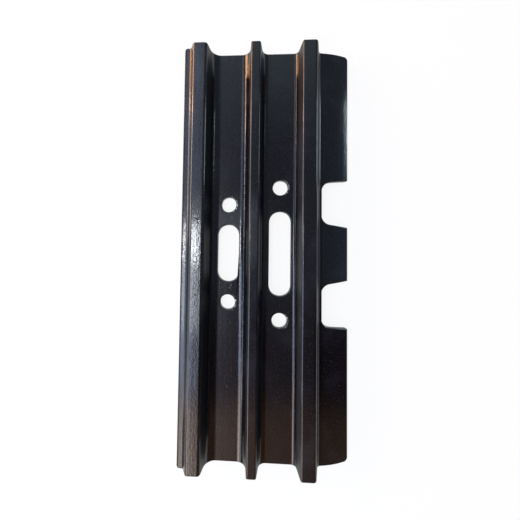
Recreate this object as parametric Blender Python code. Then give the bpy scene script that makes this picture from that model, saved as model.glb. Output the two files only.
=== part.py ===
"""Triple-grouser track shoe of a small excavator: one piece of rolled, punched and painted steel.

The bar is rolled with its three grousers, its raised rear lip and its bent front lip in one
section. So the section is drawn once, as straight lines with rounded corners, and runs along Y.
The bolt holes, the mud slots and the notches for the track links are then punched through it.

Metres, +Z up. X runs across the shoe, from the rear lip at -X to the notched front lip at +X.
The origin is the middle of the bolt pattern, on the flat face that bolts to the track links.
"""

import math

import bmesh
import bpy
from mathutils import Matrix, Vector

# The bar. An inset below is a distance in from the rear or the front edge that is nearer.
shoe_length = 0.450
plate_thickness = 0.007
rear_reach = 0.0778
front_reach = 0.1050
end_edge_radius = 0.0010
rear_corner_radius = 0.0035
front_corner_radius = 0.0042

# The rear lip, which lies over the front lip of the next shoe
rear_lip_rise = 0.0122
rear_lip_thickness = 0.0075
rear_lip_top_radius = 0.0030
rear_lip_bottom_radius = 0.0020
rear_step_inset = 0.0278
rear_step_run = 0.0150
rear_step_radius = 0.0080

# The rear grouser, whose back stands on the rear lip
rear_grouser_inset = 0.0201
rear_grouser_height = 0.0210
rear_grouser_crest = 0.0137
rear_grouser_back_lean = math.radians(31.4)
rear_grouser_front_lean = math.radians(5.9)
rear_grouser_back_crest_radius = 0.0037
rear_grouser_front_crest_radius = 0.0024
rear_grouser_back_foot_radius = 0.0030
rear_grouser_front_foot_radius = 0.0110

# The middle grouser
middle_grouser_place = 0.0013
middle_grouser_height = 0.0205
middle_grouser_crest = 0.0103
middle_grouser_back_lean = math.radians(7.6)
middle_grouser_front_lean = math.radians(4.9)
middle_grouser_crest_radius = 0.0016
middle_grouser_back_foot_radius = 0.0110
middle_grouser_front_foot_radius = 0.0075

# The front grouser, whose front stands on the front lip
front_grouser_inset = 0.0464
front_grouser_height = 0.0204
front_grouser_crest = 0.0153
front_grouser_back_lean = math.radians(11.3)
front_grouser_front_lean = math.radians(11.9)
front_grouser_back_crest_radius = 0.0016
front_grouser_front_crest_radius = 0.0034
front_grouser_back_foot_radius = 0.0055
front_grouser_front_foot_radius = 0.0046

# The front lip, bent down so that the next shoe's rear lip passes over it
front_lip_width = 0.0354
front_lip_bend_inset = 0.0170
front_lip_thickness = 0.0065
front_lip_start_slope = math.radians(7.1)
front_lip_end_slope = math.radians(23.0)
front_lip_bend_radius = 0.0950
front_lip_root_radius = 0.0400
front_lip_edge_radius = 0.0020

# Bolt holes: a rear and a front row of two, closer together in the rear row
bolt_hole_diameter = 0.0166
bolt_row_spacing = 0.05715
rear_bolt_spacing = 0.10795
front_bolt_spacing = 0.14605
rim_radius = 0.0009

# Mud slots with full round ends, in line with the bolt rows
mud_slot_width = 0.0240
rear_mud_slot_length = 0.0630
front_mud_slot_length = 0.0930

# Notches in the front lip that clear the track links, with a tooth left between them
notch_depth = 0.0309
notch_inner_edge = 0.0340
notch_outer_edge = 0.0786
notch_inner_draft = math.radians(7.9)
notch_outer_draft = math.radians(7.4)
notch_root_radius = 0.0110
notch_mouth_radius = 0.0020

# A shallow dent in the front edge. Its wave starts and ends a little outside the rounded edge.
dent_place = 0.1475
dent_length = 0.0660
dent_depth = 0.0029
dent_steps = 16

# How far a round stretch may stand off its facets, how much of a wall its two rounded corners
# may take up, and how far a punch runs past the metal
chord_error = 0.00002
fillet_share = 0.96
edge_steps = 2
hole_sides = 48
overrun = 0.0120

# The paint: black enamel on rolled steel
paint_colour = (0.016, 0.018, 0.023, 1.0)
paint_roughness = 0.32
paint_metallic = 0.0
sharp_angle = math.radians(30)


def clear_scene():
    """Empty the scene, so that it holds the shoe alone."""
    for thing in list(bpy.data.objects):
        bpy.data.objects.remove(thing, do_unlink=True)


def meet(point, angle, other_point, other_angle):
    """The point where two lines cross, each given by one of its points and its angle from +X."""
    along = Vector((math.cos(angle), math.sin(angle)))
    across = Vector((-math.sin(other_angle), math.cos(other_angle)))
    return point + along * ((other_point - point).dot(across) / along.dot(across))


def arc_pieces(radius, turn):
    """How many facets keep an arc within the chord error. A sharp corner has none."""
    if radius <= chord_error:
        return 0
    return max(1, math.ceil(abs(turn) / (2 * math.acos(1 - chord_error / radius))))


def rounded(corners):
    """Points round an outline of (corner, radius) pairs, each with its direction inwards.

    The corners run counter-clockwise, so the inside lies to their left. Where a wall is too
    short for the two rounded corners at its ends, their radii shrink until they fit.
    """
    count = len(corners)
    walls = [corner - corners[index - 1][0] for index, (corner, radius) in enumerate(corners)]
    turns = []
    for index, arriving in enumerate(walls):
        leaving = walls[(index + 1) % count]
        turns.append(math.atan2(arriving.cross(leaving), arriving.dot(leaving)))
    reaches = [radius * math.tan(abs(turn) / 2) for (corner, radius), turn in zip(corners, turns)]
    fits = []
    for index, wall in enumerate(walls):
        wanted = max(reaches[index - 1] + reaches[index], chord_error)
        fits.append(min(1, wall.length * fillet_share / wanted))
    points = []
    for index, (corner, radius) in enumerate(corners):
        fit = min(fits[index], fits[(index + 1) % count])
        turn = turns[index]
        arriving = walls[index].normalized()
        inward = Matrix.Rotation(math.pi / 2, 2) @ arriving
        swing = math.copysign(radius * fit, turn)
        centre = corner - arriving * (reaches[index] * fit) + inward * swing
        pieces = arc_pieces(radius * fit, turn)
        for piece in range(pieces + 1):
            turned = Matrix.Rotation(turn * piece / max(pieces, 1), 2) @ inward
            points.append((centre - turned * swing, turned))
    return points


def edge_rounding(radius):
    """(distance in from the side, depth below the face) along a rounded edge, from the face."""
    angles = [math.pi / 2 * step / edge_steps for step in range(edge_steps + 1)]
    return [(radius * (1 - math.sin(a)), radius * (1 - math.cos(a))) for a in angles]


def loft(name, rings):
    """A closed solid object through rings with the same number of points."""
    solid = bmesh.new()
    rows = [[solid.verts.new(point) for point in ring] for ring in rings]
    for near, far in zip(rows, rows[1:]):
        for index, corner in enumerate(near):
            solid.faces.new((near[index - 1], corner, far[index], far[index - 1]))
    solid.faces.new(rows[0])
    solid.faces.new(rows[-1])
    bmesh.ops.recalc_face_normals(solid, faces=solid.faces)
    mesh = bpy.data.meshes.new(name)
    solid.to_mesh(mesh)
    solid.free()
    return bpy.data.objects.new(name, mesh)


def grouser_crest(place, height, crest):
    """The back and front corners of a grouser's crest."""
    top = plate_thickness + height
    return Vector((place - crest / 2, top)), Vector((place + crest / 2, top))


def section():
    """The rolled section in X and Z, counter-clockwise from the underside of the rear step."""
    upright = math.pi / 2
    plate_top = Vector((0, plate_thickness))
    rear_lip_top = Vector((-rear_reach, plate_thickness + rear_lip_rise))
    rear_lip_bottom = rear_lip_top - Vector((0, rear_lip_thickness))
    rear_step_start = Vector((rear_step_inset - rear_reach, 0))
    rear_step_top = Vector((rear_step_start.x - rear_step_run, rear_lip_bottom.y))
    rear_back, rear_front = grouser_crest(
        rear_grouser_inset - rear_reach, rear_grouser_height, rear_grouser_crest
    )
    middle_back, middle_front = grouser_crest(
        middle_grouser_place, middle_grouser_height, middle_grouser_crest
    )
    front_back, front_front = grouser_crest(
        front_reach - front_grouser_inset, front_grouser_height, front_grouser_crest
    )

    # The front lip's top runs straight, then bends. Its underside is the same line, set down.
    lip_start = Vector((front_reach - front_lip_width, plate_thickness))
    start_line = -front_lip_start_slope
    end_line = -front_lip_end_slope
    bend_place = Vector((front_reach - front_lip_bend_inset, 0))
    bend = meet(lip_start, start_line, bend_place, upright)
    tip = meet(bend, end_line, Vector((front_reach, 0)), upright)
    set_down = Vector((0, -front_lip_thickness))
    under_tip = tip + Matrix.Rotation(end_line, 2) @ set_down
    under_start = lip_start + Matrix.Rotation(start_line, 2) @ set_down
    under_bend = meet(under_start, start_line, under_tip, end_line)
    under_root = meet(under_start, start_line, Vector((0, 0)), 0)

    # Each flank stands on the line at its foot.
    rear_foot = meet(rear_back, upright - rear_grouser_back_lean, rear_lip_top, 0)
    rear_valley = meet(rear_front, upright + rear_grouser_front_lean, plate_top, 0)
    middle_rear = meet(middle_back, upright - middle_grouser_back_lean, plate_top, 0)
    middle_fore = meet(middle_front, upright + middle_grouser_front_lean, plate_top, 0)
    front_valley = meet(front_back, upright - front_grouser_back_lean, plate_top, 0)
    front_foot = meet(front_front, upright + front_grouser_front_lean, lip_start, start_line)

    return rounded(
        [
            (rear_step_start, rear_step_radius),
            (under_root, front_lip_root_radius),
            (under_bend, front_lip_bend_radius - front_lip_thickness),
            (under_tip, front_lip_edge_radius),
            (tip, front_lip_edge_radius),
            (bend, front_lip_bend_radius),
            (front_foot, front_grouser_front_foot_radius),
            (front_front, front_grouser_front_crest_radius),
            (front_back, front_grouser_back_crest_radius),
            (front_valley, front_grouser_back_foot_radius),
            (middle_fore, middle_grouser_front_foot_radius),
            (middle_front, middle_grouser_crest_radius),
            (middle_back, middle_grouser_crest_radius),
            (middle_rear, middle_grouser_back_foot_radius),
            (rear_valley, rear_grouser_front_foot_radius),
            (rear_front, rear_grouser_front_crest_radius),
            (rear_back, rear_grouser_back_crest_radius),
            (rear_foot, rear_grouser_back_foot_radius),
            (rear_lip_top, rear_lip_top_radius),
            (rear_lip_bottom, rear_lip_bottom_radius),
            (rear_step_top, rear_step_radius),
        ]
    )


def bar(outline):
    """The section run along Y, with its cut ends' edges rounded."""
    rounding = edge_rounding(end_edge_radius)
    stations = [(inset, depth - shoe_length / 2) for inset, depth in rounding]
    stations += [(inset, -place) for inset, place in reversed(stations)]
    rings = []
    for inset, place in stations:
        ring = [point + inward * inset for point, inward in outline]
        rings.append([(point.x, place, point.y) for point in ring])
    return loft("track_shoe", rings)


def punch(name, outline, low, high):
    """A punch with upright sides, from an outline in X and Y."""
    return loft(name, [[(point.x, point.y, height) for point in outline] for height in (low, high)])


def round_ended_punch(name, place, width, length):
    """A punch for a round hole or a round-ended slot, flared where it rounds the plate's rims."""
    sides = []
    for side in range(hole_sides):
        angle = math.tau * (side + 1 / 2) / hole_sides
        outward = Vector((math.cos(angle), math.sin(angle)))
        end = place + Vector((0, math.copysign((length - width) / 2, outward.y)))
        sides.append((end + outward * (width / 2), outward))
    rounding = edge_rounding(rim_radius)
    flares = [(rim_radius, -overrun)] + rounding
    flares += [(flare, plate_thickness - height) for flare, height in reversed(flares)]
    rings = []
    for flare, height in flares:
        ring = [point + outward * flare for point, outward in sides]
        rings.append([(point.x, point.y, height) for point in ring])
    return loft(name, rings)


def hole_punches():
    """The four bolt holes and the two mud slots."""
    rows = (
        ("rear", -bolt_row_spacing / 2, rear_bolt_spacing, rear_mud_slot_length),
        ("front", bolt_row_spacing / 2, front_bolt_spacing, front_mud_slot_length),
    )
    punches = []
    for row, x, spacing, slot_length in rows:
        for side, y in (("left", spacing / 2), ("right", -spacing / 2)):
            name = f"{row}_{side}_bolt_punch"
            place = Vector((x, y))
            punches.append(round_ended_punch(name, place, bolt_hole_diameter, bolt_hole_diameter))
        name = f"{row}_mud_slot_punch"
        punches.append(round_ended_punch(name, Vector((x, 0)), mud_slot_width, slot_length))
    return punches


def notch_outline(side, edge):
    """The plan of a notch, whose mouth widens towards the front edge. side is 1 or -1 in Y."""
    root = front_reach - notch_depth
    inner = Vector((root, notch_inner_edge))
    outer = Vector((root, notch_outer_edge))
    inner_mouth = inner + Vector((1, -math.tan(notch_inner_draft))) * (edge - root)
    outer_mouth = outer + Vector((1, math.tan(notch_outer_draft))) * (edge - root)
    just_past = Vector((notch_mouth_radius, 0))
    past = Vector((overrun, 0))
    spread = Vector((0, overrun))
    outline = rounded(
        [
            (outer, notch_root_radius),
            (inner, notch_root_radius),
            (inner_mouth, notch_mouth_radius),
            (inner_mouth + just_past - spread, 0),
            (inner_mouth + past - spread, 0),
            (outer_mouth + past + spread, 0),
            (outer_mouth + just_past + spread, 0),
            (outer_mouth, notch_mouth_radius),
        ]
    )
    return [Vector((point.x, point.y * side)) for point, inward in outline]


def corner_outline(x, y, radius):
    """The plan of what a rounded corner of the shoe loses: all that lies outside its arc."""
    side = Vector((math.copysign(1, x), math.copysign(1, y)))
    pieces = arc_pieces(radius, math.pi / 2)
    outline = []
    for piece in range(pieces + 1):
        angle = math.pi / 2 * piece / pieces
        lost = Vector((1 - math.cos(angle), 1 - math.sin(angle))) * radius
        outline.append(Vector((x - side.x * lost.x, y - side.y * lost.y)))
    outline.append(outline[-1] + Vector((0, side.y * overrun)))
    outline.append(Vector((x + side.x * overrun, y + side.y * overrun)))
    outline.append(outline[0] + Vector((side.x * overrun, 0)))
    return outline


def dent_outline():
    """The plan of the dent, a single wave whose ends run out along the front edge."""
    outline = []
    for step in range(dent_steps + 1):
        share = step / dent_steps
        depth = dent_depth * (1 - math.cos(math.tau * share)) / 2
        outline.append(Vector((front_reach - depth, dent_place + dent_length * (share - 1 / 2))))
    outline.append(outline[-1] + Vector((overrun, 0)))
    outline.append(outline[0] + Vector((overrun, 0)))
    return outline


def edge_punches(outline):
    """The notches, the rounded corners and the dent, all cut through the whole height."""
    low = min(point.y for point, inward in outline) - overrun
    high = max(point.y for point, inward in outline) + overrun
    front_edge = max(point.x for point, inward in outline)
    punches = [punch("front_edge_dent", dent_outline(), low, high)]
    for side, y in (("left", shoe_length / 2), ("right", -shoe_length / 2)):
        notch = notch_outline(math.copysign(1, y), front_edge)
        rear_corner = corner_outline(-rear_reach, y, rear_corner_radius)
        front_corner = corner_outline(front_edge, y, front_corner_radius)
        punches.append(punch(f"{side}_notch_punch", notch, low, high))
        punches.append(punch(f"rear_{side}_corner_cut", rear_corner, low, high))
        punches.append(punch(f"front_{side}_corner_cut", front_corner, low, high))
    return punches


def paint():
    """Black enamel: smooth, glossy and not metallic."""
    material = bpy.data.materials.new("black_enamel")
    material.use_nodes = True
    surface = material.node_tree.nodes["Principled BSDF"]
    surface.inputs["Base Color"].default_value = paint_colour
    surface.inputs["Roughness"].default_value = paint_roughness
    surface.inputs["Metallic"].default_value = paint_metallic
    return material


def build():
    """Roll the bar, punch it and paint it."""
    clear_scene()
    outline = section()
    shoe = bar(outline)
    bpy.context.scene.collection.objects.link(shoe)
    punches = bpy.data.collections.new("punches")
    bpy.context.scene.collection.children.link(punches)
    for cutter in hole_punches() + edge_punches(outline):
        cutter.hide_render = True
        cutter.display_type = "WIRE"
        punches.objects.link(cutter)
    cut = shoe.modifiers.new("punching", "BOOLEAN")
    cut.operation = "DIFFERENCE"
    cut.solver = "EXACT"
    cut.operand_type = "COLLECTION"
    cut.collection = punches
    shoe.data.materials.append(paint())
    shoe.data.shade_smooth()
    shoe.data.set_sharp_from_angle(angle=sharp_angle)


build()
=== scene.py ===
# %% [markdown]
# # An excavator track shoe in black enamel
#
# A track shoe is the steel plate that an excavator stands on. Mills roll it as one long bar
# with three ribs, called grousers, and the maker shears the bar to length, punches the holes
# and paints it. This lesson dresses the engineering model of one shoe. The model is loaded
# first, and it stays fixed: everything below is made in the same metres and the same axes,
# with X across the shoe, Y along it and Z up.

# %% Load the engineering model
import math

import bpy
from mathutils import Matrix, Vector


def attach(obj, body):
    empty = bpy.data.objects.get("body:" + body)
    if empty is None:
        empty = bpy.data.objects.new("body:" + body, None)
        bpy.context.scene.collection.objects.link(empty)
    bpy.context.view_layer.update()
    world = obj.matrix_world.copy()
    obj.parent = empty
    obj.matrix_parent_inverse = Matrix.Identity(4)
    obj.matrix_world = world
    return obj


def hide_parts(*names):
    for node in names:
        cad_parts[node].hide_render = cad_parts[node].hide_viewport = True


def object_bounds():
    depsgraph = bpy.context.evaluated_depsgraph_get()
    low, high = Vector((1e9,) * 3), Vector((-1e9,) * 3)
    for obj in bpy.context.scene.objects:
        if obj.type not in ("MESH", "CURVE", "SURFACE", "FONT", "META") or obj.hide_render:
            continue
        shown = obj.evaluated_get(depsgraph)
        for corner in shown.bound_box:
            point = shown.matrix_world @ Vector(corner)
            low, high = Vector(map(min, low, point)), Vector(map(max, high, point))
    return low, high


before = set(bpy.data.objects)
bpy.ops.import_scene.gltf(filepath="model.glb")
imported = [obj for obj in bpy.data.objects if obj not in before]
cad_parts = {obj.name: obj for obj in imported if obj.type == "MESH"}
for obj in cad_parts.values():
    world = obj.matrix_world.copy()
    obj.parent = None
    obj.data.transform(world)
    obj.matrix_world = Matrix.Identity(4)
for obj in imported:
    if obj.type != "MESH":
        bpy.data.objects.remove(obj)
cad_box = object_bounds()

print("box in mm:", [[round(1000 * value, 1) for value in corner] for corner in cad_box])

# %% [markdown]
# ## One helper for every node
#
# Geometry trees and materials are both made of nodes. Adding one always means the same three
# things: choose its kind, set its properties, and fill or link its inputs. One small function
# does that for all of them. Several inputs of a node can share a name, so it finds them by
# identifier too.


# %% Add a node with its settings and links
def add(tree, kind, inputs=None, **settings):
    """Add a node. An input is filled with a value, or linked where it is given a socket."""
    made = tree.nodes.new(kind)
    for name, value in settings.items():
        setattr(made, name, value)
    sockets = {socket.name: socket for socket in made.inputs}
    sockets |= {socket.identifier: socket for socket in made.inputs}
    for name, value in (inputs or {}).items():
        for each in value if isinstance(value, list) else [value]:
            if isinstance(each, bpy.types.NodeSocket):
                tree.links.new(each, sockets[name])
            else:
                sockets[name].default_value = each
    return made


# %% Turn a colour that is written as on the screen into the linear light that nodes want
def linear(hex_colour):
    """(red, green, blue, 1) in linear light, from an sRGB colour such as "#15171a"."""
    shades = [int(hex_colour[place : place + 2], 16) / 255 for place in (1, 3, 5)]
    return (*[s / 12.92 if s <= 0.04045 else ((s + 0.055) / 1.055) ** 2.4 for s in shades], 1.0)


print("mid grey #808080 in linear light:", round(linear("#808080")[0], 3))

# %% [markdown]
# ## The camera
#
# The photograph was taken from close above the shoe, so the near parts look larger and the cut
# ends splay outwards. A long lens from far away would hide that. The camera stands where
# the lens saw it: about 30 cm up, slightly off the middle, and turned by a degree or three
# about each axis. The small shift stands for the photograph having been cropped.

# %% Place the camera
picture_pixels = 520
focal_pixels = 262.6
axis_pixel = (259.6, 232.97)
camera_place = Vector((0.02159, 0.01327, 0.29671))
camera_turns = (("Z", -0.556), ("Y", -3.031), ("X", -1.868))

lens = bpy.data.cameras.new("camera")
lens.sensor_width = 36.0
lens.lens = lens.sensor_width * focal_pixels / picture_pixels
lens.shift_x = 0.5 - axis_pixel[0] / picture_pixels
lens.shift_y = axis_pixel[1] / picture_pixels - 0.5
lens.clip_start = 0.01
camera = bpy.data.objects.new("camera", lens)
turn = Matrix.Identity(3)
for axis, degrees in camera_turns:
    turn = turn @ Matrix.Rotation(math.radians(degrees), 3, axis)
camera.matrix_world = Matrix.Translation(camera_place) @ turn.transposed().to_4x4()
bpy.context.scene.collection.objects.link(camera)
bpy.context.scene.camera = camera
print("lens in mm:", round(lens.lens, 2), "height in mm:", round(1000 * camera_place.z))

# %% [markdown]
# ## The sizes of the shoe
#
# These are the same driving dimensions as in the engineering source, in metres. A few of them
# are drawn a little closer to the photograph: the rear grouser's crest is wider, the dent is
# shallower, and the radii of the crests and of the rear lip differ by up to 1.4 mm. The mesh
# made from them here is finer than the engineering one, because gloss paint shows every facet.
# A distance named inset is measured in from the nearer long edge. The length, the rear reach
# and the place of the rounded front edge are read from the engineering model's own box.

# %% The bar
shoe_length = cad_box[1].y - cad_box[0].y
plate_thickness = 0.0070
rear_reach = -cad_box[0].x
front_reach = 0.1050
front_edge = cad_box[1].x
rear_corner_radius = 0.0035
front_corner_radius = 0.0042

rear_lip_rise = 0.0122
rear_lip_thickness = 0.0075
rear_step_inset = 0.0278
rear_step_run = 0.0150

front_lip_width = 0.0354
front_lip_bend_inset = 0.0170
front_lip_thickness = 0.0065
front_lip_slopes = (math.radians(-7.1), math.radians(-23.0))
front_lip_bend_radius = 0.0950

# %% The grousers: place, height and crest width, then the back flank and the front flank
# A flank is its lean in degrees, the radius at its crest and the radius at its foot.
grousers = {
    "rear": (0.0196 - rear_reach, 0.0210, 0.0148, (31.4, 0.0034, 0.0030), (5.9, 0.0034, 0.0110)),
    "middle": (0.0013, 0.0205, 0.0103, (7.6, 0.0020, 0.0110), (4.9, 0.0020, 0.0075)),
    "front": (front_reach - 0.0464, 0.0204, 0.0153, (11.3, 0.0020, 0.0055), (11.9, 0.0034, 0.0046)),
}

# %% The holes and the notches
bolt_hole_diameter = 0.0166
bolt_row_spacing = 0.05715
mud_slot_width = 0.0240
# A row is its name, its place in X, the spacing of its two holes and the length of its slot.
rows = (
    ("Rear", -bolt_row_spacing / 2, 0.10795, 0.0630),
    ("Front", bolt_row_spacing / 2, 0.14605, 0.0930),
)
notch_depth = 0.0309
notch_walls = ((0.0340, -math.radians(7.9)), (0.0786, math.radians(7.4)))
notch_root_radius = 0.0110
notch_mouth_radius = 0.0020
dent_place, dent_length, dent_depth = 0.1475, 0.0660, 0.0010
overrun = 0.0120
print("box of the bar in mm:", round(1000 * shoe_length), round(1000 * (rear_reach + front_edge)))

# %% [markdown]
# ## The rolled section as an outline
#
# The mill's rolls give the bar one cross-section from end to end. It is easiest to draw as
# straight lines between sharp corners, and to round each corner afterwards. A curve point has
# a radius of its own, which nothing else uses here, so each corner keeps its rounding there and
# the node tree reads it back.


# %% Two helpers for outlines
def meet(point, angle, other_point, other_angle):
    """The point where two lines cross, each given by one of its points and its angle."""
    along = Vector((math.cos(angle), math.sin(angle)))
    across = Vector((-math.sin(other_angle), math.cos(other_angle)))
    return point + along * ((other_point - point).dot(across) / along.dot(across))


def outline_object(name, loops):
    """A curve object of closed outlines. Each corner is (point, radius of its rounding).

    An outline that runs clockwise is turned round, or its swept faces would point inwards.
    """
    curve = bpy.data.curves.new(name, "CURVE")
    curve.dimensions = "3D"
    for corners in loops:
        points = [point for point, radius in corners]
        area = sum(point.cross(after) for point, after in zip(points, points[1:] + points[:1]))
        corners = corners if area > 0 else corners[::-1]
        spline = curve.splines.new("POLY")
        spline.points.add(len(corners) - 1)
        spline.use_cyclic_u = True
        for point, (place, radius) in zip(spline.points, corners):
            point.co = (place.x, place.y, 0, 1)
            point.radius = radius
    made = bpy.data.objects.new(name, curve)
    bpy.context.scene.collection.objects.link(made)
    return made


# %% The corners of the two lips
upright = math.pi / 2
plate_top = Vector((0, plate_thickness))
rear_lip_top = Vector((-rear_reach, plate_thickness + rear_lip_rise))
rear_lip_bottom = rear_lip_top - Vector((0, rear_lip_thickness))
rear_step_start = Vector((rear_step_inset - rear_reach, 0))
rear_step_top = Vector((rear_step_start.x - rear_step_run, rear_lip_bottom.y))

lip_start = Vector((front_reach - front_lip_width, plate_thickness))
start_slope, end_slope = front_lip_slopes
bend_place = Vector((front_reach - front_lip_bend_inset, 0))
bend = meet(lip_start, start_slope, bend_place, upright)
tip = meet(bend, end_slope, Vector((front_reach, 0)), upright)
set_down = Vector((0, -front_lip_thickness))
under_tip = tip + Matrix.Rotation(end_slope, 2) @ set_down
under_start = lip_start + Matrix.Rotation(start_slope, 2) @ set_down
under_bend = meet(under_start, start_slope, under_tip, end_slope)
under_root = meet(under_start, start_slope, Vector((0, 0)), 0)

# %% Draw the section, counter-clockwise from the underside
section = [
    (rear_step_start, 0.0080),
    (under_root, 0.0400),
    (under_bend, front_lip_bend_radius - front_lip_thickness),
    (under_tip, 0.0020),
    (tip, 0.0020),
    (bend, front_lip_bend_radius),
]
for name in ("front", "middle", "rear"):
    place, height, crest, back, front = grousers[name]
    top = plate_thickness + height
    back_foot = (rear_lip_top, 0) if name == "rear" else (plate_top, 0)
    front_foot = (lip_start, start_slope) if name == "front" else (plate_top, 0)
    crest_front = Vector((place + crest / 2, top))
    crest_back = Vector((place - crest / 2, top))
    section += [
        (meet(crest_front, upright + math.radians(front[0]), *front_foot), front[2]),
        (crest_front, front[1]),
        (crest_back, back[1]),
        (meet(crest_back, upright - math.radians(back[0]), *back_foot), back[2]),
    ]
section += [(rear_lip_top, 0.0016), (rear_lip_bottom, 0.0020), (rear_step_top, 0.0080)]
section_outline = outline_object("section_outline", [section])
print("corners of the section:", len(section))

# %% [markdown]
# ## The edge cuts as outlines
#
# The link notches, the rounded corners and the shallow dent in the front edge go through the
# whole height, so a plan outline says all there is to say about each. One object holds them
# all. The notches are wider at the mouth, as the punch leaves them.

# %% Draw the two notches in plan
edge_cuts = []
notch_start = front_reach - notch_depth
for side in (1, -1):
    loop = []
    for y, draft in notch_walls:
        outwards = math.copysign(1, draft)
        mouth = Vector((front_edge, y + (front_edge - notch_start) * math.tan(draft)))
        just_past = mouth + Vector((notch_mouth_radius, outwards * overrun))
        past = mouth + Vector((overrun, outwards * overrun))
        wall = [(Vector((notch_start, y)), notch_root_radius), (mouth, notch_mouth_radius)]
        wall += [(just_past, 0), (past, 0)]
        loop += wall if outwards < 0 else wall[::-1]
    edge_cuts.append([(Vector((point.x, side * point.y)), radius) for point, radius in loop])

# %% Draw what the four rounded corners lose
# The arc crosses the edges at a slight angle, because one that only touches leaves slivers.
corner_lead = 0.00006
for across in (1, -1):
    for along in (1, -1):
        x = front_edge if across > 0 else -rear_reach
        radius = front_corner_radius if across > 0 else rear_corner_radius
        corner = Vector((x, along * shoe_length / 2))
        steps = [(-radius, corner_lead, 0), (corner_lead, corner_lead, radius + corner_lead)]
        steps += [(corner_lead, -radius, 0), (overrun, -radius, 0)]
        steps += [(overrun, overrun, 0), (-radius, overrun, 0)]
        edge_cuts.append([(corner + Vector((across * i, along * j)), r) for i, j, r in steps])

# %% Draw the dent, a single wave along the front edge
# It is measured from the lip's sharp tip, so its shallow ends lie outside the rounded edge.
dent_steps = 16
dent = []
for step in range(dent_steps + 1):
    share = step / dent_steps
    depth = dent_depth * (1 - math.cos(math.tau * share)) / 2
    dent.append((Vector((front_reach - depth, dent_place + dent_length * (share - 0.5))), 0))
dent += [(dent[place][0] + Vector((overrun, 0)), 0) for place in (-1, 0)]
edge_cuts.append(dent)
edge_outlines = outline_object("edge_outlines", edge_cuts)
print("edge cuts:", len(edge_cuts))

# %% [markdown]
# ## Rolling and punching as a node tree
#
# The shoe's shape follows a rule: one section swept along a line, less the punched holes. A
# geometry node tree says that rule with the sizes as named inputs, so another width of shoe
# is one number away. Three small trees share the work: one sweeps any outline, one makes a
# round or round-ended punch, and the main one rolls the bar, sets a punch at each hole and
# cuts. The Boolean uses the exact solver, which copes with the long thin faces of a bar.


# %% Start a node tree with named inputs
def start_tree(name, inputs):
    """A geometry node group, and its input sockets by name."""
    tree = bpy.data.node_groups.new(name, "GeometryNodeTree")
    for label, kind in inputs.items():
        tree.interface.new_socket(label, in_out="INPUT", socket_type=f"NodeSocket{kind}")
    tree.interface.new_socket("Geometry", in_out="OUTPUT", socket_type="NodeSocketGeometry")
    given = tree.nodes.new("NodeGroupInput")
    return tree, {socket.name: socket for socket in given.outputs if socket.name}


def end_tree(tree, geometry):
    """Link the geometry to the group's output."""
    tree.links.new(geometry, tree.nodes.new("NodeGroupOutput").inputs["Geometry"])


# %% Sweep an outline straight up, with each corner rounded by its own radius
arc_points = 10
weld_distance = 0.00002

sweep, given = start_tree("swept_outline", {"Outline": "Geometry", "Low": "Float", "High": "Float"})
fillet = {
    "Curve": given["Outline"],
    "Count": arc_points,
    "Radius": add(sweep, "GeometryNodeInputRadius").outputs[0],
    "Limit Radius": True,
}
fillets = add(sweep, "GeometryNodeFilletCurve", fillet, mode="POLY")
low = add(sweep, "ShaderNodeCombineXYZ", {"Z": given["Low"]})
high = add(sweep, "ShaderNodeCombineXYZ", {"Z": given["High"]})
ends = {"Start": low.outputs[0], "End": high.outputs[0]}
path = add(sweep, "GeometryNodeCurvePrimitiveLine", ends)
profile = {"Curve": path.outputs[0], "Profile Curve": fillets.outputs[0], "Fill Caps": True}
swept = add(sweep, "GeometryNodeCurveToMesh", profile)
joined = {"Geometry": swept.outputs[0], "Distance": weld_distance}
end_tree(sweep, add(sweep, "GeometryNodeMergeByDistance", joined).outputs[0])
print("nodes in the sweep:", len(sweep.nodes))

# %% A round punch
punch_sides = 96
punch_low, punch_high = -0.030, 0.050

punch, given = start_tree("round_punch", {"Width": "Float", "Length": "Float"})
halved = {"Value": given["Width"], "Value_001": 0.5}
radius = add(punch, "ShaderNodeMath", halved, operation="MULTIPLY").outputs[0]
drum = {"Vertices": punch_sides, "Radius": radius, "Depth": punch_high - punch_low}
drum = add(punch, "GeometryNodeMeshCylinder", drum).outputs[0]
# Half a step of turn, so that no corner lies on the line where the halves part.
stand = {
    "Geometry": drum,
    "Translation": (0, 0, (punch_low + punch_high) / 2),
    "Rotation": (0, 0, math.pi / punch_sides),
}
turned = add(punch, "GeometryNodeTransform", stand).outputs[0]

# %% Move the punch's two halves apart where the hole is longer than it is wide
position = add(punch, "GeometryNodeInputPosition").outputs[0]
y = add(punch, "ShaderNodeSeparateXYZ", {"Vector": position}).outputs["Y"]
side = add(punch, "ShaderNodeMath", {"Value": y}, operation="SIGN").outputs[0]
spare = {"Value": given["Length"], "Value_001": given["Width"]}
spare = add(punch, "ShaderNodeMath", spare, operation="SUBTRACT").outputs[0]
shift = add(punch, "ShaderNodeMath", {"Value": spare, "Value_001": 0.5}, operation="MULTIPLY")
apart = {"Value": side, "Value_001": shift.outputs[0]}
apart = add(punch, "ShaderNodeMath", apart, operation="MULTIPLY").outputs[0]
offset = add(punch, "ShaderNodeCombineXYZ", {"Y": apart}).outputs[0]
pulled = add(punch, "GeometryNodeSetPosition", {"Geometry": turned, "Offset": offset})
end_tree(punch, pulled.outputs[0])
print("nodes in the punch:", len(punch.nodes))

# %% The main tree: roll the bar and lay it down
inputs = {
    "Section": "Object",
    "Edge cuts": "Object",
    "Shoe length": "Float",
    "Bolt hole diameter": "Float",
    "Mud slot width": "Float",
    "Paint": "Material",
}
for row, *sizes in rows:
    for size in ("row place", "bolt spacing", "slot length"):
        inputs[f"{row} {size}"] = "Float"
shoe_tree, given = start_tree("rolled_and_punched_shoe", inputs)

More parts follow.
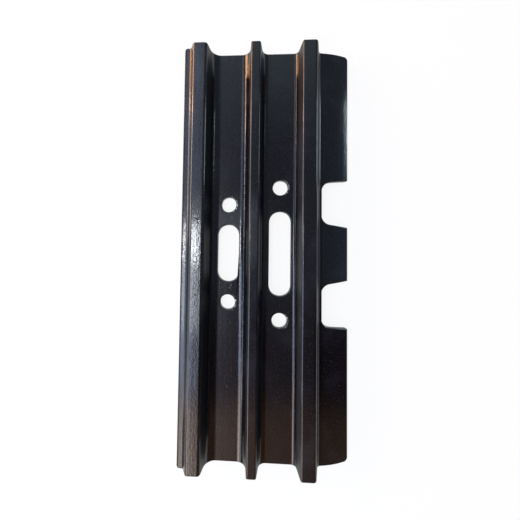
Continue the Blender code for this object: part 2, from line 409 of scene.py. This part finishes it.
halved = {"Value": given["Shoe length"], "Value_001": 0.5}
end = add(shoe_tree, "ShaderNodeMath", halved, operation="MULTIPLY").outputs[0]
start = add(shoe_tree, "ShaderNodeMath", {"Value": end, "Value_001": -1.0}, operation="MULTIPLY")
section_in = add(shoe_tree, "GeometryNodeObjectInfo", {"Object": given["Section"]})
run = {"Outline": section_in.outputs["Geometry"], "Low": start.outputs[0], "High": end}
standing = add(shoe_tree, "GeometryNodeGroup", run, node_tree=sweep).outputs[0]
laid = {"Geometry": standing, "Rotation": (math.pi / 2, 0, 0)}
lying = add(shoe_tree, "GeometryNodeTransform", laid).outputs[0]

# %% Set the punches of each row
cutters = []
for row, *sizes in rows:
    place = given[f"{row} row place"]
    halved = {"Value": given[f"{row} bolt spacing"], "Value_001": 0.5}
    far = add(shoe_tree, "ShaderNodeMath", halved, operation="MULTIPLY").outputs[0]
    near = {"Value": far, "Value_001": -1.0}
    near = add(shoe_tree, "ShaderNodeMath", near, operation="MULTIPLY").outputs[0]
    centres = [{"X": place, "Y": y} for y in (near, far)]
    ends = [add(shoe_tree, "ShaderNodeCombineXYZ", centre).outputs[0] for centre in centres]
    bolt_line = {"Start": ends[0], "End": ends[1]}
    bolt_line = add(shoe_tree, "GeometryNodeCurvePrimitiveLine", bolt_line).outputs[0]
    middle = add(shoe_tree, "ShaderNodeCombineXYZ", {"X": place}).outputs[0]

    hole = {"Width": given["Bolt hole diameter"], "Length": given["Bolt hole diameter"]}
    hole = add(shoe_tree, "GeometryNodeGroup", hole, node_tree=punch).outputs[0]
    holes = {"Points": bolt_line, "Instance": hole}
    cutters.append(add(shoe_tree, "GeometryNodeInstanceOnPoints", holes).outputs[0])
    slot = {"Width": given["Mud slot width"], "Length": given[f"{row} slot length"]}
    slot = add(shoe_tree, "GeometryNodeGroup", slot, node_tree=punch).outputs[0]
    moved = {"Geometry": slot, "Translation": middle}
    cutters.append(add(shoe_tree, "GeometryNodeTransform", moved).outputs[0])

# %% Cut, and give the paint
cuts_in = add(shoe_tree, "GeometryNodeObjectInfo", {"Object": given["Edge cuts"]})
edges = {"Outline": cuts_in.outputs["Geometry"], "Low": punch_low, "High": punch_high}
cutters.append(add(shoe_tree, "GeometryNodeGroup", edges, node_tree=sweep).outputs[0])
less = {"Mesh 1": lying, "Mesh 2": cutters}
how = {"operation": "DIFFERENCE", "solver": "EXACT"}
cut = add(shoe_tree, "GeometryNodeMeshBoolean", less, **how).outputs[0]
real = add(shoe_tree, "GeometryNodeRealizeInstances", {"Geometry": cut}).outputs[0]
coated = {"Geometry": real, "Material": given["Paint"]}
end_tree(shoe_tree, add(shoe_tree, "GeometryNodeSetMaterial", coated).outputs[0])
print("nodes in the main tree:", len(shoe_tree.nodes), "cutters:", len(cutters))

# %% [markdown]
# ## Black enamel on rolled steel
#
# The finish is alkyd enamel, the common air-drying machinery paint, sprayed in one thin coat
# straight onto hot-rolled steel. The resin is clear and glassy (IOR about 1.5) and the pigment
# is carbon black, so nearly all the eye sees is a sharp, uncoloured reflection of the room.
# That reflection is broken up by what lies under and in the coat. Each of these is a noise with
# its real wavelength and height, and all are added up in metres before one Bump node.
#
# An image texture would fix the pattern to one picture. Noise on Object coordinates has real
# sizes instead, and runs on round every corner without a seam.

# %% Where the pattern lies: object coordinates, in metres
millimetre = 0.001
enamel = bpy.data.materials.new("black_alkyd_enamel_on_hot_rolled_steel")
enamel.use_nodes = True
paint = enamel.node_tree
shader = paint.nodes["Principled BSDF"]
coordinates = add(paint, "ShaderNodeTexCoord")
place = coordinates.outputs["Object"]
plan = add(paint, "ShaderNodeMapping", {"Vector": place, "Scale": (1, 1, 0)}).outputs[0]

# %% [markdown]
# ### The reliefs
#
# - Orange peel: a sprayed coat dries with soft dimples 1 to 4 mm apart.
# - Grain: mill scale under the coat is as rough as fine sandpaper. Real grains are about 0.3 mm
#   apart, which is too fine to show from 30 cm, so they are drawn 1.4 mm apart.
# - Rolling lines: the rolls drag scale along the bar, so the lines are long in Y and narrow.
# - Waves: hot steel leaves the rolls slightly wavy, a few hundredths of a millimetre over a
#   centimetre or more. They bend a straight reflection.

# %% Add up the reliefs
reliefs = (
    # what it is, wavelength across and along the bar in mm, height in mm, detail
    ("orange peel", 2.6, 3.6, 0.044, 1.0),
    ("grain", 1.4, 2.6, 0.044, 1.0),
    ("rolling lines", 1.6, 90.0, 0.024, 1.0),
    ("waves", 14.0, 45.0, 0.060, 0.0),
)
height = 0.0
for name, across, along, depth, detail in reliefs:
    stretched = {"Vector": place, "Scale": (1, across / along, 1)}
    stretched = add(paint, "ShaderNodeMapping", stretched).outputs[0]
    noise = {"Vector": stretched, "Scale": 1 / (across * millimetre), "Detail": detail}
    noise = add(paint, "ShaderNodeTexNoise", noise).outputs["Fac"]
    layer = {"Value": noise, "Value_001": depth * millimetre, "Value_002": height}
    height = add(paint, "ShaderNodeMath", layer, operation="MULTIPLY_ADD").outputs[0]
print("reliefs:", len(reliefs))

# %% [markdown]
# ### Nibs
#
# Dust and scale that fall into wet paint dry as small raised nibs: many fine ones, and a few
# coarse ones far apart. Their sides are steep, so each catches a lamp that the flat paint round
# it misses. A Voronoi pattern scatters one point to a cell, and the distance to it gives each
# nib its round shape. The cell's random colour keeps only some of them.

# %% Scatter the nibs
nibs = (
    # what they are, spacing and radius in mm, height in mm, share of the cells that has one
    ("coarse", 9.0, 1.20, 0.090, 0.35),
    ("fine", 2.8, 0.90, 0.040, 0.45),
)
for name, spacing, radius, rise, share in nibs:
    cells = {"Vector": place, "Scale": 1 / (spacing * millimetre), "Randomness": 1.0}
    cells = add(paint, "ShaderNodeTexVoronoi", cells)
    dome = {"Value": cells.outputs["Distance"], "From Min": radius / spacing, "From Max": 0.0}
    dome = add(paint, "ShaderNodeMapRange", dome, interpolation_type="SMOOTHSTEP").outputs[0]
    draw = add(paint, "ShaderNodeSeparateXYZ", {"Vector": cells.outputs["Color"]}).outputs["X"]
    kept = {"Value": draw, "Value_001": share}
    kept = add(paint, "ShaderNodeMath", kept, operation="LESS_THAN").outputs[0]
    nib = add(paint, "ShaderNodeMath", {"Value": dome, "Value_001": kept}, operation="MULTIPLY")
    layer = {"Value": nib.outputs[0], "Value_001": rise * millimetre, "Value_002": height}
    height = add(paint, "ShaderNodeMath", layer, operation="MULTIPLY_ADD").outputs[0]

# %% [markdown]
# ### Scuffs round the bolt holes
#
# Handling and the first bolt rub the paint through on one side of each hole, down to grey steel.
# The distance from the hole's axis makes a ring, its front side is kept, and a noise breaks
# what is left into short glinting marks, as the rubbing is uneven.

# %% Rub the front side of the ring round each bolt hole
ring_width = 1.1 * millimetre
ring_radius = bolt_hole_diameter / 2 + ring_width
front_start, front_full = 0.4 * ring_radius, 0.9 * ring_radius
rubbed = 0.0
for row, x, spacing, slot_length in rows:
    for y in (-spacing / 2, spacing / 2):
        reach = {"Vector": plan, "Vector_001": (x, y, 0)}
        reach = add(paint, "ShaderNodeVectorMath", reach, operation="SUBTRACT").outputs["Vector"]
        away = add(paint, "ShaderNodeVectorMath", {"Vector": reach}, operation="LENGTH")
        off = {"Value": away.outputs["Value"], "Value_001": ring_radius}
        off = add(paint, "ShaderNodeMath", off, operation="SUBTRACT").outputs[0]
        off = add(paint, "ShaderNodeMath", {"Value": off}, operation="ABSOLUTE").outputs[0]
        ring = {"Value": off, "From Min": ring_width, "From Max": 0.0}
        ring = add(paint, "ShaderNodeMapRange", ring, interpolation_type="SMOOTHSTEP").outputs[0]
        front = add(paint, "ShaderNodeSeparateXYZ", {"Vector": reach}).outputs["X"]
        front = {"Value": front, "From Min": front_start, "From Max": front_full}
        front = add(paint, "ShaderNodeMapRange", front, interpolation_type="SMOOTHSTEP").outputs[0]
        arc = {"Value": ring, "Value_001": front}
        arc = add(paint, "ShaderNodeMath", arc, operation="MULTIPLY").outputs[0]
        both = {"Value": arc, "Value_001": rubbed}
        rubbed = add(paint, "ShaderNodeMath", both, operation="MAXIMUM").outputs[0]

# %% Break the rubbing into patches
patch_size = 2.2 * millimetre
patch_start, patch_full = 0.48, 0.60
patches = {"Vector": plan, "Scale": 1 / patch_size, "Detail": 2.0}
patches = add(paint, "ShaderNodeTexNoise", patches).outputs["Fac"]
patches = {"Value": patches, "From Min": patch_start, "From Max": patch_full}
patches = add(paint, "ShaderNodeMapRange", patches, interpolation_type="SMOOTHSTEP").outputs[0]
scuff = add(paint, "ShaderNodeMath", {"Value": rubbed, "Value_001": patches}, operation="MULTIPLY")
scuff = scuff.outputs[0]

# %% [markdown]
# ### The worn front edge
#
# The front edge was knocked on its way here. It went in by less than a millimetre, and the blow
# took the paint off the rounded edge along it. The mask is the product of two ramps: one runs in
# from the edge, and the other fades out along it. As metal, the edge shows the pale floor.

# %% Wear the front edge bright along the dent
ramps = (
    # axis, start of the ramp and its full strength, measured in metres from the dent's middle
    ("X", -2.6 * millimetre, -1.3 * millimetre),
    ("Y", 0.46 * dent_length, 0.22 * dent_length),
)
from_dent = {"Vector": plan, "Vector_001": (front_reach, dent_place, 0)}
from_dent = add(paint, "ShaderNodeVectorMath", from_dent, operation="SUBTRACT").outputs["Vector"]
from_dent = add(paint, "ShaderNodeSeparateXYZ", {"Vector": from_dent}).outputs
along_edge = {"Value": from_dent["Y"]}
along_edge = add(paint, "ShaderNodeMath", along_edge, operation="ABSOLUTE").outputs[0]
worn = 1.0
for axis, none, full in ramps:
    distance = along_edge if axis == "Y" else from_dent[axis]
    ramp = {"Value": distance, "From Min": none, "From Max": full}
    ramp = add(paint, "ShaderNodeMapRange", ramp, interpolation_type="SMOOTHSTEP").outputs[0]
    both = {"Value": ramp, "Value_001": worn}
    worn = add(paint, "ShaderNodeMath", both, operation="MULTIPLY").outputs[0]
both = {"Value": scuff, "Value_001": worn}
scuff = add(paint, "ShaderNodeMath", both, operation="MAXIMUM").outputs[0]

# %% [markdown]
# ### Nicks in the rear grouser
#
# The rear grouser has taken two knocks across its crest, one of them deep enough to see. Each
# is a short groove: a dip in the distance from its middle, measured in half lengths along X and
# half widths along Y. Its walls run down from its rim to its floor.

# %% Knock the nicks in
nicks = (
    # place in X and Y, half length and half width in mm, depth in mm
    (-0.0562, 0.0362, 4.2, 1.1, 0.34),
    (-0.0567, -0.0424, 3.2, 0.9, 0.14),
)
groove_rim, groove_floor = 1.0, 0.2
for x, y, half_length, half_width, depth in nicks:
    reach = {"Vector": plan, "Vector_001": (x, y, 0)}
    reach = add(paint, "ShaderNodeVectorMath", reach, operation="SUBTRACT").outputs["Vector"]
    scaled = {"Vector": reach, "Scale": (1000 / half_length, 1000 / half_width, 0)}
    scaled = add(paint, "ShaderNodeMapping", scaled).outputs[0]
    away = add(paint, "ShaderNodeVectorMath", {"Vector": scaled}, operation="LENGTH")
    away = away.outputs["Value"]
    groove = {"Value": away, "From Min": groove_rim, "From Max": groove_floor}
    groove = add(paint, "ShaderNodeMapRange", groove, interpolation_type="SMOOTHSTEP").outputs[0]
    layer = {"Value": groove, "Value_001": -depth * millimetre, "Value_002": height}
    height = add(paint, "ShaderNodeMath", layer, operation="MULTIPLY_ADD").outputs[0]

# %% [markdown]
# ### The sheared ends and the steep flanks
#
# The shear burnishes the top of the cut and tears the rest, so the end faces are striped from
# top to bottom under their paint. The steep flanks of the grousers got their paint from a gun
# held above them: it arrived half dry, so they are duller. The surface's own direction tells
# both: only a cut end or the side of a notch looks along Y, and only a flank looks along X.

# %% Find the cut ends and the flanks
barely_steep, fully_steep = 0.80, 0.97
facing = add(paint, "ShaderNodeSeparateXYZ", {"Vector": coordinates.outputs["Normal"]})
steep = {}
for axis in ("X", "Y"):
    along = {"Value": facing.outputs[axis]}
    along = add(paint, "ShaderNodeMath", along, operation="ABSOLUTE").outputs[0]
    along = {"Value": along, "From Min": barely_steep, "From Max": fully_steep}
    along = add(paint, "ShaderNodeMapRange", along, interpolation_type="SMOOTHSTEP")
    steep[axis] = along.outputs[0]

# %% Stripe the cut ends
sheared = steep["Y"]
stripe_width, stripe_length, stripe_depth = 0.9, 14.0, 0.14
striped = {"Vector": place, "Scale": (1, 1, stripe_width / stripe_length)}
striped = add(paint, "ShaderNodeMapping", striped).outputs[0]
striped = {"Vector": striped, "Scale": 1 / (stripe_width * millimetre), "Detail": 3.0}
striped = add(paint, "ShaderNodeTexNoise", striped).outputs["Fac"]
striped = {"Value": striped, "Value_001": sheared}
striped = add(paint, "ShaderNodeMath", striped, operation="MULTIPLY")
layer = {"Value": striped.outputs[0], "Value_001": stripe_depth * millimetre, "Value_002": height}
height = add(paint, "ShaderNodeMath", layer, operation="MULTIPLY_ADD").outputs[0]

# %% [markdown]
# ### Gloss and colour
#
# Alkyd enamel dries with a roughness of about 0.1. It is duller in long streaks where the scale
# below is coarse, on the torn ends, on the flanks and where it is rubbed. Carbon black is one of
# the darkest pigments there is. A thin film of shop dust lifts it to a dark grey in patches. Pale
# specks lift it more: they are partly grit and partly painted glints, small highlights put into the
# colour.
# Real grit is a few tenths of a millimetre, which is too fine to show, so the specks are drawn
# 1.3 mm apart. Where steel is bare, its colour and metallic take over.

# %% Set the gloss
gloss, streak_dullness, cut_dullness, flank_dullness, scuff_dullness = 0.08, 0.10, 0.26, 0.40, 0.20
streak_width, streak_shortening = 3 * millimetre, 0.03
streaks = {"Vector": place, "Scale": (1, streak_shortening, 1)}
streaks = add(paint, "ShaderNodeMapping", streaks).outputs[0]
streaks = {"Vector": streaks, "Scale": 1 / streak_width, "Detail": 3.0}
streaks = add(paint, "ShaderNodeTexNoise", streaks).outputs["Fac"]
causes = (
    (streaks, streak_dullness),
    (sheared, cut_dullness),
    (steep["X"], flank_dullness),
    (scuff, scuff_dullness),
)
roughness = gloss
for cause, dullness in causes:
    duller = {"Value": cause, "Value_001": dullness, "Value_002": roughness}
    roughness = add(paint, "ShaderNodeMath", duller, operation="MULTIPLY_ADD").outputs[0]
paint.links.new(roughness, shader.inputs["Roughness"])
paint.links.new(scuff, shader.inputs["Metallic"])
shader.inputs["IOR"].default_value = 1.5

# %% Colour the paint, the dust on it and the painted glints
carbon_black, dusty_black, grit_and_glint, bare_steel = "#0b0c10", "#1a1b20", "#26282d", "#c2c3c2"
dust_and_glint_coverings = (
    # size of the pattern, its detail, where it starts and where it is full, colour
    (35 * millimetre, 4.0, 0.48, 0.75, dusty_black),
    # pale specks: partly grit, partly painted glints that stand in for small highlights
    (1.3 * millimetre, 1.0, 0.58, 0.74, grit_and_glint),
)
dust_and_glint_layers = []
for size, detail, start_at, full_at, shade in dust_and_glint_coverings:
    dust_and_glint_covering = {"Vector": place, "Scale": 1 / size, "Detail": detail}
    dust_and_glint_covering = add(paint, "ShaderNodeTexNoise", dust_and_glint_covering).outputs["Fac"]
    dust_and_glint_covering = {"Value": dust_and_glint_covering, "From Min": start_at, "From Max": full_at}
    dust_and_glint_covering = add(paint, "ShaderNodeMapRange", dust_and_glint_covering, interpolation_type="SMOOTHSTEP")
    dust_and_glint_layers.append((dust_and_glint_covering.outputs[0], shade))
colour = linear(carbon_black)
for share, shade in (*dust_and_glint_layers, (scuff, bare_steel)):
    blend = {"Factor_Float": share, "A_Color": colour, "B_Color": linear(shade)}
    colour = add(paint, "ShaderNodeMix", blend, data_type="RGBA").outputs[2]
paint.links.new(colour, shader.inputs["Base Color"])

bump = add(paint, "ShaderNodeBump", {"Strength": 1.0, "Distance": 1.0, "Height": height})
paint.links.new(bump.outputs[0], shader.inputs["Normal"])
print("nodes in the enamel:", len(paint.nodes))

# %% [markdown]
# ## Making the shoe
#
# The node tree is a modifier, and its inputs are filled by each socket's identifier. Its result
# is then turned into a plain mesh, because the parts library stores meshes. The cut edges come
# out sharp, so a Bevel rounds them, as tumbling and paint do on the real one: first the flat
# faces are merged, so that the Bevel has room. Weighted normals keep the flat faces flat in
# the gloss while the narrow rounds shade smoothly.

# %% Roll and punch the shoe
edge_radius = 0.0011
edge_steps = 4
flat_angle, cut_angle = math.radians(0.5), math.radians(35)


def settle(piece):
    """Turn what the modifiers made into the piece's own plain mesh, and drop the modifiers."""
    graph = bpy.context.evaluated_depsgraph_get()
    mesh = bpy.data.meshes.new_from_object(piece.evaluated_get(graph), depsgraph=graph)
    piece.modifiers.clear()
    piece.data = mesh


shoe = bpy.data.objects.new("enamelled_shoe", bpy.data.meshes.new("enamelled_shoe"))
bpy.context.scene.collection.objects.link(shoe)
rolling = shoe.modifiers.new("rolling and punching", "NODES")
rolling.node_group = shoe_tree
values = {
    "Section": section_outline,
    "Edge cuts": edge_outlines,
    "Shoe length": shoe_length,
    "Bolt hole diameter": bolt_hole_diameter,
    "Mud slot width": mud_slot_width,
    "Paint": enamel,
}
for row, place, spacing, slot_length in rows:
    sizes = {"row place": place, "bolt spacing": spacing, "slot length": slot_length}
    values |= {f"{row} {size}": value for size, value in sizes.items()}
for socket in shoe_tree.interface.items_tree:
    if socket.in_out == "INPUT":
        rolling[socket.identifier] = values[socket.name]
settle(shoe)
print("rolled and punched:", len(shoe.data.vertices), "points,", len(shoe.data.polygons), "faces")

# %% Round the cut edges
weld = shoe.modifiers.new("weld", "WELD")
weld.merge_threshold = weld_distance
flatten = shoe.modifiers.new("merge flat faces", "DECIMATE")
flatten.decimate_type = "DISSOLVE"
flatten.angle_limit = flat_angle
rounding = shoe.modifiers.new("round the cut edges", "BEVEL")
rounding.width = edge_radius
rounding.segments = edge_steps
rounding.limit_method = "ANGLE"
rounding.angle_limit = cut_angle
rounding.use_clamp_overlap = False
rounding.miter_outer = "MITER_ARC"
settle(shoe)
shoe.data.shade_smooth()
shading = shoe.modifiers.new("weigh normals by area", "WEIGHTED_NORMAL")
shading.keep_sharp = True
settle(shoe)
for outline in (section_outline, edge_outlines):
    bpy.data.objects.remove(outline)
print("rounded:", len(shoe.data.vertices), "points,", len(shoe.data.polygons), "faces")

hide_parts("track_shoe")
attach(shoe, "root")

# %% [markdown]
# ## The floor
#
# The shoe rests on its link face and on the underside of the bent lip, so it lies tipped by
# about three degrees. Here the shoe stays level, as the engineering model has it, and the floor
# is tipped instead. The floor is white paper. Paper lit to pure white would need lamps that
# wash out the shoe, so part of its white is a glow that the camera and mirror-like surfaces
# see, while its shading keeps the shoe's shadow.

# %% Lay the paper
rear_rest = Vector((rear_step_start.x, 0, 0))
front_rest = Vector((0.1018, 0, -0.0082))
slope = math.atan2(rear_rest.z - front_rest.z, front_rest.x - rear_rest.x)
floor_half = 4.0
paper_glow = 0.88

paper = bpy.data.materials.new("white_seamless_paper")
paper.use_nodes = True
tree = paper.node_tree
tree.nodes.clear()
rays = add(tree, "ShaderNodeLightPath")
seen = rays.outputs["Is Camera Ray"]
for kind in ("Is Glossy Ray", "Is Transmission Ray"):
    either = {"Value": seen, "Value_001": rays.outputs[kind]}
    seen = add(tree, "ShaderNodeMath", either, operation="MAXIMUM").outputs[0]
share = add(tree, "ShaderNodeMath", {"Value": seen, "Value_001": paper_glow}, operation="MULTIPLY")
matt = add(tree, "ShaderNodeBsdfDiffuse", {"Color": linear("#fafafa")}).outputs[0]
glow = add(tree, "ShaderNodeEmission", {"Strength": 1.0}).outputs[0]
mix = {"Fac": share.outputs[0], "Shader": matt, "Shader_001": glow}
mix = add(tree, "ShaderNodeMixShader", mix).outputs[0]
add(tree, "ShaderNodeOutputMaterial", {"Surface": mix})

corners = [(i * floor_half, j * floor_half) for i, j in ((-1, -1), (1, -1), (1, 1), (-1, 1))]
corners = [(x, y, -(x - rear_rest.x) * math.tan(slope)) for x, y in corners]
floor_mesh = bpy.data.meshes.new("floor")
floor_mesh.from_pydata(corners, [], [(0, 1, 2, 3)])
floor_mesh.materials.append(paper)
floor = bpy.data.objects.new("floor", floor_mesh)
bpy.context.scene.collection.objects.link(floor)
print("floor slope in degrees:", round(math.degrees(slope), 2))

# %% [markdown]
# ## The room
#
# Black gloss has no colour of its own to show, so the room makes the picture. The photograph's
# room was dim overhead and on the right, cool towards the far end, brighter on the left, and
# brown towards the near end. A world can say that without a picture: each band brings one
# colour in as the direction turns towards an axis. The camera sees plain white behind the
# shoe. The gloss sees that white too, where it stands: from the floor up to just above the
# horizon.

# %% Paint the room's light by direction
world = bpy.data.worlds.new("studio")
bpy.context.scene.world = world
world.use_nodes = True
tree = world.node_tree
tree.nodes.clear()
look = add(tree, "ShaderNodeTexCoord").outputs["Generated"]
look = add(tree, "ShaderNodeSeparateXYZ", {"Vector": look})
bands = (
    # its colour, how it is added, then each axis with where the band starts and where it is full
    ("#dcf2ff", "MIX", ("Y", 0.30, 0.78)),
    ("#7c8492", "MIX", ("X", 0.08, 0.42)),
    ("#808eae", "MIX", ("X", 0.62, 0.85)),
    ("#eef6ff", "MIX", ("X", 0.02, -0.50)),
    ("#f0c8c0", "MULTIPLY", ("Y", -0.10, -0.42)),
    ("#a07c70", "MULTIPLY", ("Y", -0.12, -0.34), ("X", 0.07, 0.19)),
    ("#61758b", "ADD", ("Y", -0.10, -0.30), ("X", -0.08, -0.20)),
    ("#8a6840", "ADD", ("Y", -0.48, -0.56)),
    ("#806038", "ADD", ("Y", -0.48, -0.56), ("X", 0.14, -0.02)),
    ("#9c8876", "ADD", ("Y", -0.48, -0.56), ("X", -0.08, -0.16)),
    ("#8c8c90", "MIX", ("Y", -0.64, -0.80)),
    ("#4c525e", "MIX", ("X", -0.40, -0.56)),
)
colour = linear("#7c8190")
for shade, blend, *ranges in bands:
    share = 1.0
    for axis, start_at, full_at in ranges:
        band = {"Value": look.outputs[axis], "From Min": start_at, "From Max": full_at}
        band = add(tree, "ShaderNodeMapRange", band, interpolation_type="SMOOTHSTEP").outputs[0]
        both = {"Value": band, "Value_001": share}
        share = add(tree, "ShaderNodeMath", both, operation="MULTIPLY").outputs[0]
    mix = {"Factor_Float": share, "A_Color": colour, "B_Color": linear(shade)}
    colour = add(tree, "ShaderNodeMix", mix, data_type="RGBA", blend_type=blend).outputs[2]

# %% Let the camera and the gloss see the white behind the shoe
white_up_to, room_from = 0.02, 0.08
low = {"Value": look.outputs["Z"], "From Min": room_from, "From Max": white_up_to}
low = add(tree, "ShaderNodeMapRange", low, interpolation_type="SMOOTHSTEP").outputs[0]
rays = add(tree, "ShaderNodeLightPath").outputs
mirrored = {"Value": rays["Is Glossy Ray"], "Value_001": low}
mirrored = add(tree, "ShaderNodeMath", mirrored, operation="MULTIPLY").outputs[0]
seen = rays["Is Camera Ray"]
for other in (rays["Is Transmission Ray"], mirrored):
    either = {"Value": seen, "Value_001": other}
    seen = add(tree, "ShaderNodeMath", either, operation="MAXIMUM").outputs[0]
mix = {"Factor_Float": seen, "A_Color": colour, "B_Color": linear("#ffffff")}
colour = add(tree, "ShaderNodeMix", mix, data_type="RGBA").outputs[2]
sky = add(tree, "ShaderNodeBackground", {"Color": colour, "Strength": 1.0}).outputs[0]
add(tree, "ShaderNodeOutputWorld", {"Surface": sky})

# %% [markdown]
# ## The lamps
#
# A mirror-like face shows a lamp only where the line of sight bounces to it. So each lamp here
# stands where one highlight of the photograph says it was. A bright tube hangs over the rear
# grouser, with its faint glow and tail beside it. A cool panel with a bright edge, and a warm
# one, hang towards the near end, and a window towards the far end. Low on the left are pale
# walls and two strips, one white and one warm, and low on the right is a pale green panel.
# Cycles gives an area lamp a radiance of a quarter of its watts over its area, so the table can
# give radiance, which is how bright its reflection looks. No lamp shows to the camera itself.

# %% Hang the lamps
lamps = {
    # name: place, what it faces, width, length, radiance, colour
    "tube": ((-0.54, 0.00, 1.50), None, 0.07, 0.26, 46.0, "#f4f8ff"),
    "tube_glow": ((-0.24, 0.06, 1.50), None, 0.34, 0.40, 0.7, "#e4ebff"),
    "tube_tail": ((-0.50, 0.24, 1.50), None, 0.22, 0.16, 1.3, "#e4ebff"),
    "panel_edge": ((-0.55, -0.37, 1.50), None, 0.13, 0.44, 9.4, "#eaf2ff"),
    "cool_panel": ((-0.95, -0.58, 1.50), None, 0.90, 0.86, 4.0, "#cbdcff"),
    "warm_panel": ((-0.97, -1.50, 1.50), None, 0.92, 0.90, 2.9, "#fff0e4"),
    "window": ((-0.93, 0.78, 1.50), None, 0.92, 1.30, 1.1, "#b4caff"),
    "left_wall": ((-1.50, -0.35, 0.62), (0, 0, 0), 1.40, 0.50, 4.0, "#dfeaff"),
    "near_wall": ((-1.10, -1.30, 1.05), (0, 0, 0), 0.90, 0.80, 1.7, "#ffe9dd"),
    "white_strip": ((-1.40, 0.44, 0.50), (0, 0, 0), 0.90, 0.60, 7.0, "#fff2ec"),
    "warm_strip": ((-1.12, 0.98, 0.44), (0, 0, 0), 0.60, 0.60, 10.0, "#ffbe8c"),
    "green_panel": ((1.31, 0.61, 0.39), (0, 0, 0), 0.47, 0.45, 5.0, "#d6eef2"),
}
for name, (place, target, width, length, radiance, shade) in lamps.items():
    lamp = bpy.data.lights.new(name, "AREA")
    lamp.shape = "RECTANGLE"
    lamp.size, lamp.size_y = width, length
    lamp.energy = 4 * radiance * width * length
    lamp.color = linear(shade)[:3]
    made = bpy.data.objects.new(name, lamp)
    facing = Vector(place) - Vector(target) if target else Vector((0, 0, 1))
    turned = facing.to_track_quat("Z", "Y").to_matrix().to_4x4() if target else Matrix.Identity(4)
    made.matrix_world = Matrix.Translation(place) @ turned
    made.visible_camera = False
    bpy.context.scene.collection.objects.link(made)
    print(name, "watts:", round(lamp.energy, 1))

# %% The picture's look
bpy.context.scene.view_settings.view_transform = "Standard"
